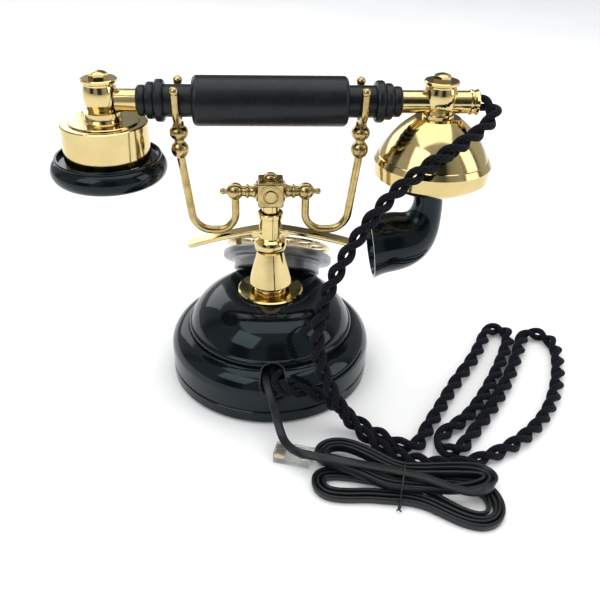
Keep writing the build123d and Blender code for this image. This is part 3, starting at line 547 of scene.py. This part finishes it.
def steel():
    finish = Finish("steel", Metallic=1.0)
    finish.mottle(200, 4, (0.42, 0.42, 0.42), (0.62, 0.62, 0.61))
    finish.rough(finish.span(finish.noise(500, 4, 0.6, (1, 1, 6)), 0.2, 0.4))
    finish.bump(finish.noise(1800, 3), 0.00003, 0.5)
    return finish.material


def felt():
    finish = Finish("felt", Roughness=0.95, Sheen_Weight=0.4, Sheen_Roughness=0.6)
    wool = finish.noise(900, 6, 0.7)
    finish.colour(finish.ramp(wool, (0.3, (0.010, 0.012, 0.011)), (0.7, (0.035, 0.038, 0.036))))
    finish.bump(finish.noise(2200, 6, 0.7), 0.0003)
    return finish.material


def white_enamel():
    finish = Finish("white_enamel", Coat_Weight=0.7, Coat_Roughness=0.05)
    finish.mottle(80, 5, (0.72, 0.69, 0.60), (0.80, 0.77, 0.69))
    finish.rough(finish.span(finish.noise(400, 4), 0.15, 0.28))
    finish.bump(finish.noise(300, 3), 0.00004, 0.4)
    return finish.material


def board_green():
    finish = Finish("board_green")
    finish.colour(finish.ramp(finish.noise(500, 3), (0.4, (0.01, 0.09, 0.035)), (0.6, (0.02, 0.14, 0.05))))
    finish.rough(finish.span(finish.noise(300), 0.3, 0.5))
    finish.bump(finish.noise(900, 3), 0.0001)
    return finish.material


def inner_black():
    finish = Finish("inner_black")
    finish.mottle(200, 4, (0.006, 0.006, 0.007), (0.016, 0.016, 0.018))
    finish.rough(finish.span(finish.noise(400, 4), 0.45, 0.65))
    finish.bump(finish.noise(1500, 3), 0.00008)
    return finish.material


THREAD_LAY, THREADS_ROUND = 0.0021, 5


def braid_black():
    """Cotton sleeving: two sets of threads that wind opposite ways round each strand."""
    finish = Finish(
        "braid_black",
        Roughness=0.85,
        Specular_IOR_Level=0.2,
        Sheen_Weight=0.05,
        Sheen_Roughness=0.4,
        Sheen_Tint=(0.35, 0.45, 0.85, 1),
    )
    parts = finish.node("ShaderNodeSeparateXYZ")
    uv = finish.node("ShaderNodeUVMap", uv_map="along")
    finish.wire(uv.outputs["UV"], parts.inputs["Vector"])
    along = finish.maths("MULTIPLY", parts.outputs["X"], 2 * math.pi / THREAD_LAY)
    around = finish.maths("MULTIPLY", parts.outputs["Y"], 2 * math.pi * THREADS_ROUND)
    one = finish.maths("SINE", finish.maths("ADD", along, around))
    two = finish.maths("SINE", finish.maths("SUBTRACT", along, around))
    weave = finish.maths("MAXIMUM", one, two)
    fuzz = finish.noise(2600, 5, 0.7)
    height = finish.maths("ADD", weave, finish.maths("MULTIPLY", fuzz, 0.9))
    # Painted highlight and shade: the colour is lighter and bluer on the thread crests and darker in the
    # grooves between them; the fuzz adds random tone.
    finish.colour(
        finish.ramp(
            finish.span(height, 0, 1, -0.4, 1.7),
            (0.0, (0.0008, 0.0009, 0.0014)),
            (0.6, (0.0022, 0.0025, 0.0045)),
            (1.0, (0.0065, 0.0075, 0.0135)),
        )
    )
    finish.bump(height, 0.00022, 0.9)
    return finish.material


def line_grey():
    finish = Finish("line_grey", Specular_IOR_Level=0.3, Coat_Weight=0.1, Coat_Roughness=0.3)
    finish.mottle(90, 4, (0.0034, 0.0050, 0.0062), (0.0062, 0.0088, 0.0105))
    finish.rough(finish.span(finish.noise(500, 4), 0.30, 0.44))
    finish.bump(finish.noise(1600, 3), 0.00005, 0.5)
    return finish.material


def tie_black():
    finish = Finish("tie_black")
    finish.mottle(300, 3, (0.006, 0.006, 0.007), (0.013, 0.013, 0.015))
    finish.rough(finish.span(finish.noise(600, 3), 0.3, 0.5))
    finish.bump(finish.noise(1800, 3), 0.00006)
    return finish.material


def clear_plastic():
    finish = Finish("clear_plastic", Transmission_Weight=0.9, IOR=1.22)
    finish.mottle(120, 3, (0.90, 0.93, 0.92), (0.97, 0.98, 0.98))
    finish.rough(finish.span(finish.noise(300, 3), 0.02, 0.09))
    finish.bump(finish.noise(350, 2), 0.00005, 0.3)
    return finish.material


def gold():
    finish = Finish("gold", Metallic=1.0)
    finish.mottle(800, 3, (0.78, 0.52, 0.16), (0.92, 0.68, 0.26))
    finish.rough(finish.span(finish.noise(900, 3), 0.12, 0.25))
    finish.bump(finish.noise(2500, 2), 0.00002, 0.4)
    return finish.material


def print_black():
    finish = Finish("print_black")
    finish.mottle(700, 4, (0.008, 0.008, 0.009), (0.022, 0.021, 0.02))
    finish.rough(finish.span(finish.noise(900, 3), 0.35, 0.5))
    finish.bump(finish.noise(2500, 3), 0.00003, 0.5)
    return finish.material


def paper_floor():
    finish = Finish("paper_floor", Specular_IOR_Level=0.2)
    finish.mottle(6, 3, (0.90, 0.90, 0.90), (0.93, 0.93, 0.93))
    finish.rough(finish.span(finish.noise(20), 0.6, 0.8))
    return finish.material


FINISHES = {
    polished_brass: (
        "stem_plate stem_cone stem_collar stem_tube carry_wing_left carry_wing_right plunger_rod "
        "finger_wheel dial_cap finger_stop handset_tube ear_boss mouth_boss boss_nuts ear_cup "
        "mouth_dome mouth_pan"
    ),
    aged_brass: (
        "cradle_hub hub_screw cradle_arm_left cradle_arm_right hook_rod_left hook_rod_right "
        "fork_left fork_right"
    ),
    black_gloss: "base_shell foot_plate ear_cap mouth_horn",
    grip_black: "handset_grip grip_collar_left grip_collar_right",
    cup_grey: "dial_cup",
    steel: (
        "plate_screws stem_nut gongs ringer_coil clapper switch_bracket dial_frame dial_shaft "
        "pulse_gear return_spring"
    ),
    felt: "felt_pad",
    white_enamel: "number_plate",
    board_green: "circuit_board",
    inner_black: (
        "cable_grommet cord_clamp hook_switch receiver_capsule transmitter_capsule cord_sleeve"
    ),
    clear_plastic: "line_plug",
    gold: "plug_contacts",
}
for make, names in FINISHES.items():
    material = make()
    for name in names.split():
        for place in nodes[name].material_slots:
            place.material = material

# --- Handset cord -------------------------------------------------------------------------------

STRAND_R, TWIST_R, STRANDS = 2.1, 2.45, 2
# The twist is tighter where the cord hangs and looser where it lies.
PITCH_AT = (0, 0.30, 0.42, 0.95, 1.06)
PITCHES = (0.0220, 0.0230, 0.0275, 0.0270, 0.0225)
# Height at which the cord's hanging piece meets the lower one.
SPLIT_Z = 0.058


def twisted_strands(line, along, start, stop):
    """The strands of a loosely twisted cord between two places on its line."""
    normal = carried_normals(line)
    other = np.cross(tangents(line), normal)
    pitch = np.interp(along, PITCH_AT, PITCHES)
    pitch *= 1 + 0.07 * np.sin(along * 61) + 0.05 * np.sin(along * 23 + 1)
    turn = np.concatenate([[0], np.cumsum(2 * math.pi * np.diff(along) / pitch[1:])])
    looseness = 1 + 0.05 * np.sin(along * 87 + 2)
    meshes = []
    for strand in range(STRANDS):
        angle = turn + 2 * math.pi * strand / STRANDS
        reach = TWIST_R * MM * looseness
        middle = line + normal * (reach * np.cos(angle))[:, None] + other * (reach * np.sin(angle))[:, None]
        rings = tube_rings(middle, STRAND_R * MM, 14)
        meshes.append(skin("strand", rings[start:stop], along[start:stop]))
    return meshes


braid_line, braid_along = evenly(smooth_line("handset_cord_line", BRAID_ROUTE), 0.0011)
split = int(np.argmax(braid_line[:, 2] < SPLIT_Z))
cotton = braid_black()
upper_cord = joined(
    "handset_cord_upper", twisted_strands(braid_line, braid_along, 0, split + 1), cotton
)
lower_cord = joined(
    "handset_cord_lower", twisted_strands(braid_line, braid_along, split, len(braid_line)), cotton
)
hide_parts("handset_cord")
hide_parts("handset_cord")
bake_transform(lower_cord)
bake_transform(upper_cord)

# --- Line cord, hank, tie and plug --------------------------------------------------------------

line_route = LINE_ROUTE + hank_points() + PLUG_RUN
flat_line, flat_along = evenly(smooth_line("line_cord_line", line_route), 0.0013)

# Which way the flat cord's width points, at lengths along it: across the view as it leaves the
# hole, on edge past the plug, flat on top of the hank, then on edge through all its turns.
WIDTH_WAYS = [
    (0.000, (1, 0.2, 0)),
    (0.026, (0.9, 0.5, 0.1)),
    (0.046, (0.45, 0.9, 0.3)),
    (0.062, (-0.2, 0.7, 0.8)),
    (0.080, (0.3, 0.8, 0.5)),
    (0.100, (0.3, 1, 0.1)),
    (0.150, (0.35, 1, 0)),
    (0.172, (0.7, 0.8, 0.25)),
    (0.195, (0.3, 0.4, 1)),
    (0.215, (0, 0, 1)),
]


def flat_rings(line, along):
    """Rings of the flat cord: a rounded bar with a shallow groove along each broad face."""
    keys = np.array([key for key, _ in WIDTH_WAYS])
    ways = np.array([way for _, way in WIDTH_WAYS], float)
    width = np.stack([np.interp(along, keys, ways[:, axis]) for axis in range(3)], axis=1)
    direction = tangents(line)
    level_way = np.cross(direction, (0, 0, 1))
    lean = 0.16 * np.sin(along * 19) + 0.08 * np.sin(along * 47 + 1)
    width += level_way * (lean * np.clip((along - 0.2) / 0.05, 0, 1))[:, None]
    width -= direction * (width * direction).sum(axis=1)[:, None]
    width /= np.linalg.norm(width, axis=1)[:, None]
    thick = np.cross(direction, width)
    angle = np.linspace(0, 2 * math.pi, 22, endpoint=False)
    wide = np.sign(np.cos(angle)) * np.abs(np.cos(angle)) ** 0.62
    deep = np.sign(np.sin(angle)) * np.abs(np.sin(angle)) ** 0.62
    deep *= 1 - 0.17 * np.exp(-((wide / 0.17) ** 2))
    wide, deep = wide * FLAT_W / 2 * MM, deep * FLAT_T / 2 * MM
    return line[:, None] + width[:, None] * wide[None, :, None] + thick[:, None] * deep[None, :, None]


line_cord = joined(
    "line_cord_flat",
    [skin("line_cord_flat", flat_rings(flat_line, flat_along), flat_along)],
    line_grey(),
)
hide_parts("line_cord", "line_hank")
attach(line_cord, "base")

tie_material = tie_black()
# The wire stands across the hank; its loop turns about the hank's own length.
TIE_MIDDLE = Vector((69.5, -121, 0))
TIE_ACROSS = Vector((0.27, 0.963, 0)).normalized()
TIE_AXIS = Vector((TIE_ACROSS.y, -TIE_ACROSS.x, 0))
LOOP_WIRE_R, TAIL_WIRE_R = 0.5, 0.42
TAIL_LENGTH, TAIL_DROP, TAIL_SPREAD, TAIL_COILS = 3.2, 2.6, 2.4, 2.4


def tie_point(across_mm, height_mm):
    place = TIE_MIDDLE + TIE_ACROSS * across_mm
    return (place.x, place.y, height_mm)


def tie_loop():
    """The wire's loop round the bundle: a flat-bottomed rounded band."""
    shape = [
        (-11.9, 0.9),
        (-6, 0.6),
        (0, 0.6),
        (6, 0.6),
        (11.4, 1.0),
        (12.6, 3.4),
        (12.9, 7.6),
        (11.8, 11.0),
        (7, 11.9),
        (4.2, 14.8),
        (0.2, 15.2),
        (-3.4, 12.6),
        (-7.6, 11.2),
        (-10.6, 6.4),
        (-12.6, 4.2),
    ]
    route = [tie_point(across_mm, height_mm) for across_mm, height_mm in shape]
    return smooth_line("tie_line", route, resolution=10, closed=True)


def ring_round(line, radius, around, axis):
    """Rings along a closed flat line; axis is the normal of its plane."""
    direction = np.roll(line, -1, axis=0) - np.roll(line, 1, axis=0)
    direction /= np.linalg.norm(direction, axis=1)[:, None]
    outward = np.cross(direction, axis)
    angle = np.linspace(0, 2 * math.pi, around, endpoint=False)
    spoke = (
        outward[:, None] * np.cos(angle)[None, :, None]
        + np.array(axis)[None, None] * np.sin(angle)[None, :, None]
    )
    return line[:, None] + spoke * radius


def tie_tail(side):
    """One end of the wire, wound round the other end and bent out."""
    steps = np.linspace(0, 1, 40)
    out, lie = -np.array(TIE_ACROSS), np.array(TIE_AXIS)
    twist = steps * TAIL_COILS * 2 * math.pi + side * math.pi
    wide = 0.55 * np.clip((1 - steps) * 3, 0.35, 1)
    line = np.array(tie_point(-13.1, 4.6)) + out * (steps * TAIL_LENGTH)[:, None]
    line += lie * (wide * np.cos(twist))[:, None]
    line[:, 2] += wide * np.sin(twist) - steps * TAIL_DROP
    line += lie * ((side - 0.5) * TAIL_SPREAD * np.clip(steps - 0.7, 0, 1) / 0.3)[:, None]
    line *= MM
    return skin("tail", tube_rings(line, TAIL_WIRE_R * MM, 8), travelled(line))


loop = tie_loop()
loop_rings = ring_round(loop, LOOP_WIRE_R * MM, 10, TIE_AXIS)
band = skin("band", loop_rings, travelled(loop), closed=True)
tie = joined("hank_tie_wire", [band, tie_tail(0), tie_tail(1)], tie_material)
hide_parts("hank_tie")
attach(tie, "base")

# --- Lip of the cord hole -----------------------------------------------------------------------


HOLE_Z, LIP_INNER_Y = 30, -49.5
# The base's outline beside the hole: heights and the radius at each.
SKIN_HEIGHTS = (20, 22, 26, 29.6, 32, 34, 35.5, 38.6)
SKIN_RADII = (65, 65, 64, 61.8, 58.4, 54.2, 53.3, 51.6)
# Radius from the hole's axis and depth below the base's skin; None is the sleeve's inner end.
LIP_PROFILE = [
    (8.33, None),
    (8.33, 0.5),
    (8.55, -0.1),
    (8.4, -0.55),
    (7.9, -0.6),
    (7.3, -0.1),
    (7.15, 1.0),
    (7.1, None),
]


def cord_hole_lip():
    """A thin sleeve that lines the hole in the base and just rounds over the curved skin."""
    angle = np.linspace(0, 2 * math.pi, 96, endpoint=False)
    rings = []
    for radius, depth in LIP_PROFILE:
        x, z = radius * np.cos(angle), HOLE_Z + radius * np.sin(angle)
        skin_r = np.interp(z, SKIN_HEIGHTS, SKIN_RADII)
        if depth is None:
            y = np.full(len(angle), LIP_INNER_Y)
        else:
            y = depth - np.sqrt(skin_r**2 - x**2)
        rings.append(np.stack([x, y, z], axis=1) * MM)
    return skin("lip", rings, np.arange(len(rings)) * 0.002, closed=True)


lip = joined("cord_hole_lip", [cord_hole_lip()], inner_black())
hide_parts("cable_grommet")
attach(lip, "base")

# --- Dial numerals ------------------------------------------------------------------------------

TILT, TURN = math.radians(52), math.radians(8)
DIAL_OUT, DIAL_Z, FINGER_PITCH_R = 44.2, 60.1, 28.0
# Bearings in the dial's face, in degrees: the first hole's and the step to the next.
FIRST_HOLE, HOLE_STEP = 52, 27
NUMERAL_SIZE, NUMERAL_LIFT = 7.2, 0.33
dial_normal = Vector(
    (math.sin(TURN) * math.cos(TILT), math.cos(TURN) * math.cos(TILT), math.sin(TILT))
)
dial_right = Vector((-math.cos(TURN), math.sin(TURN), 0))
dial_up = dial_normal.cross(dial_right)
dial_centre = Vector((DIAL_OUT * math.sin(TURN), DIAL_OUT * math.cos(TURN), DIAL_Z)) * MM
dial_face = Matrix((dial_right, dial_up, dial_normal)).transposed()

ink = print_black()
for hole in range(10):
    angle = math.radians(FIRST_HOLE + HOLE_STEP * hole)
    text = bpy.data.curves.new("numeral", "FONT")
    digit = (hole + 1) % 10
    text.body = str(digit)
    text.size = NUMERAL_SIZE * MM
    text.align_x = "CENTER"
    text.align_y = "CENTER"
    text.extrude = 0.00006
    text.offset = 0.00008
    holder = bpy.data.objects.new("numeral", text)
    mesh = bpy.data.meshes.new_from_object(holder)
    bpy.data.objects.remove(holder)
    mesh.materials.clear()
    mesh.materials.append(ink)
    numeral = link(bpy.data.objects.new(f"numeral_{digit}", mesh))
    place = dial_right * math.cos(angle) + dial_up * math.sin(angle)
    numeral.matrix_world = Matrix.LocRotScale(
        dial_centre + (place * FINGER_PITCH_R + dial_normal * NUMERAL_LIFT) * MM, dial_face, None
    )
    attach(numeral, "base")

# --- Studio -------------------------------------------------------------------------------------

floor_mesh = bpy.data.meshes.new("floor")
floor_mesh.from_pydata([(-3, -3, 0), (3, -3, 0), (3, 3, 0), (-3, 3, 0)], [], [(0, 1, 2, 3)])
floor_mesh.materials.append(paper_floor())
floor = link(bpy.data.objects.new("floor", floor_mesh))
floor.location.z = -0.00005


def softbox(name, place, target, size, power):
    light = bpy.data.lights.new(name, "AREA")
    light.shape = "RECTANGLE"
    light.size, light.size_y = size
    light.energy = power
    lamp = link(bpy.data.objects.new(name, light))
    lamp.location = place
    lamp.rotation_euler = (Vector(target) - Vector(place)).to_track_quat("-Z", "Y").to_euler()


softbox("key", (-0.75, -0.75, 1.05), (0, 0, 0.08), (0.8, 0.8), 4.5)
softbox("side", (1.15, -0.25, 0.55), (0, 0, 0.08), (0.5, 0.9), 3.2)
softbox("top", (0.05, 0.15, 1.4), (0.05, 0, 0), (1.6, 1.4), 11.0)
softbox("rear", (-0.7, 1.1, 0.7), (0, 0, 0.1), (0.7, 0.7), 3.0)

world = bpy.data.worlds.new("studio")
scene.world = world
world.use_nodes = True
tree = world.node_tree
background = tree.nodes["Background"]
coords = tree.nodes.new("ShaderNodeTexCoord")
split_way = tree.nodes.new("ShaderNodeSeparateXYZ")
tree.links.new(coords.outputs["Generated"], split_way.inputs["Vector"])
bearing = tree.nodes.new("ShaderNodeMath")
bearing.operation = "ARCTAN2"
tree.links.new(split_way.outputs["Y"], bearing.inputs[0])
tree.links.new(split_way.outputs["X"], bearing.inputs[1])
turn_share = tree.nodes.new("ShaderNodeMapRange")
turn_share.inputs["From Min"].default_value = -math.pi
turn_share.inputs["From Max"].default_value = math.pi
tree.links.new(bearing.outputs[0], turn_share.inputs["Value"])
# Walls by bearing, from -X by way of -Y, +X and +Y back to -X: pale screens with dark gaps.
WALLS = [
    (0.000, 0.44),
    (0.070, 0.468),
    (0.100, 0.028),
    (0.150, 0.022),
    (0.180, 0.413),
    (0.220, 0.385),
    (0.245, 0.033),
    (0.300, 0.028),
    (0.330, 0.33),
    (0.400, 0.468),
    (0.430, 0.044),
    (0.500, 0.055),
    (0.540, 0.495),
    (0.660, 0.522),
    (0.700, 0.11),
    (0.760, 0.138),
    (0.800, 0.495),
    (0.920, 0.495),
    (0.950, 0.193),
    (1.000, 0.44),
]
walls = tree.nodes.new("ShaderNodeValToRGB")
while len(walls.color_ramp.elements) < len(WALLS):
    walls.color_ramp.elements.new(0.5)
for element, (position, value) in zip(walls.color_ramp.elements, WALLS):
    element.position = position
    element.color = (value, value, value, 1)
tree.links.new(turn_share.outputs["Result"], walls.inputs["Fac"])
ceiling = tree.nodes.new("ShaderNodeMapRange")
ceiling.inputs["From Min"].default_value = 0.62
ceiling.inputs["From Max"].default_value = 0.80
tree.links.new(split_way.outputs["Z"], ceiling.inputs["Value"])
blend_in = tree.nodes.new("ShaderNodeMix")
blend_in.data_type = "RGBA"
blend_in.inputs[7].default_value = (0.45, 0.45, 0.45, 1)
tree.links.new(ceiling.outputs["Result"], blend_in.inputs[0])
tree.links.new(walls.outputs["Color"], blend_in.inputs[6])
# Gloss mirrors the screens; everything else is lit by an even near white.
ray = tree.nodes.new("ShaderNodeLightPath")
by_ray = tree.nodes.new("ShaderNodeMix")
by_ray.data_type = "RGBA"
by_ray.inputs[6].default_value = (0.80, 0.81, 0.82, 1)
tree.links.new(ray.outputs["Is Glossy Ray"], by_ray.inputs[0])
tree.links.new(blend_in.outputs[2], by_ray.inputs[7])
tree.links.new(by_ray.outputs[2], background.inputs["Color"])
scene.view_settings.view_transform = "Standard"
